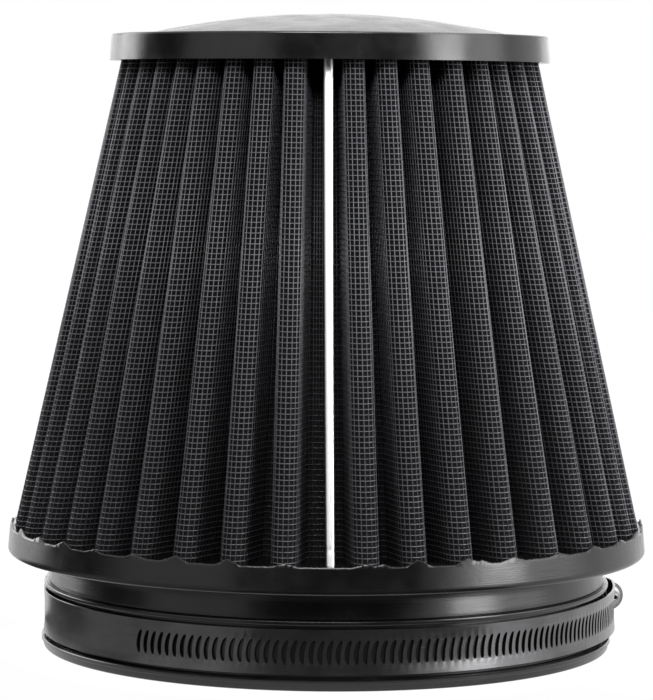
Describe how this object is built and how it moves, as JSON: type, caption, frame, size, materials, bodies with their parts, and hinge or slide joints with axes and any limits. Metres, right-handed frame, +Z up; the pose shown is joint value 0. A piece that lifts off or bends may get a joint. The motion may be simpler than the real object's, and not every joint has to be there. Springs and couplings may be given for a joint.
{
  "type": "cone air filter",
  "caption": "Clamp-on cone air filter: pleated gauze between black wire screens, soft domed cap, soft base flange with a round neck, bright seam strip and slotted band clamp.",
  "frame": {"origin": "centre of the neck's open end, in the plane of the lip's lower face", "axes": "+Z up along the neck's and the cone's axis towards the cap, -Y towards the seam strip, +X to the right as seen from the seam strip"},
  "size_m": [0.1916, 0.1916, 0.1892],
  "materials": {
    "urethane": "moulded black urethane, semi-gloss",
    "gauze": "black cotton gauze",
    "coated_wire": "black epoxy-coated wire",
    "bright_strip": "bright rolled strip",
    "clamp_steel": "satin stainless steel strip",
    "screw_steel": "zinc-plated steel"
  },
  "bodies": {
    "filter": {"base_flange": "urethane", "filter_media": "gauze", "outer_screen": "coated_wire", "inner_screen": "coated_wire", "seam_clip": "bright_strip", "end_cap": "urethane", "clamp_band": "clamp_steel", "clamp_housing": "clamp_steel"},
    "screw": {"worm_screw": "screw_steel"}
  },
  "joints": [
    {"name": "screw_turn", "type": "hinge", "parent": "filter", "child": "screw", "pos_m": [0.0851, 0.03266, 0.0107], "axis": [-0.3584, 0.9336, 0], "continuous": true}
  ]
}
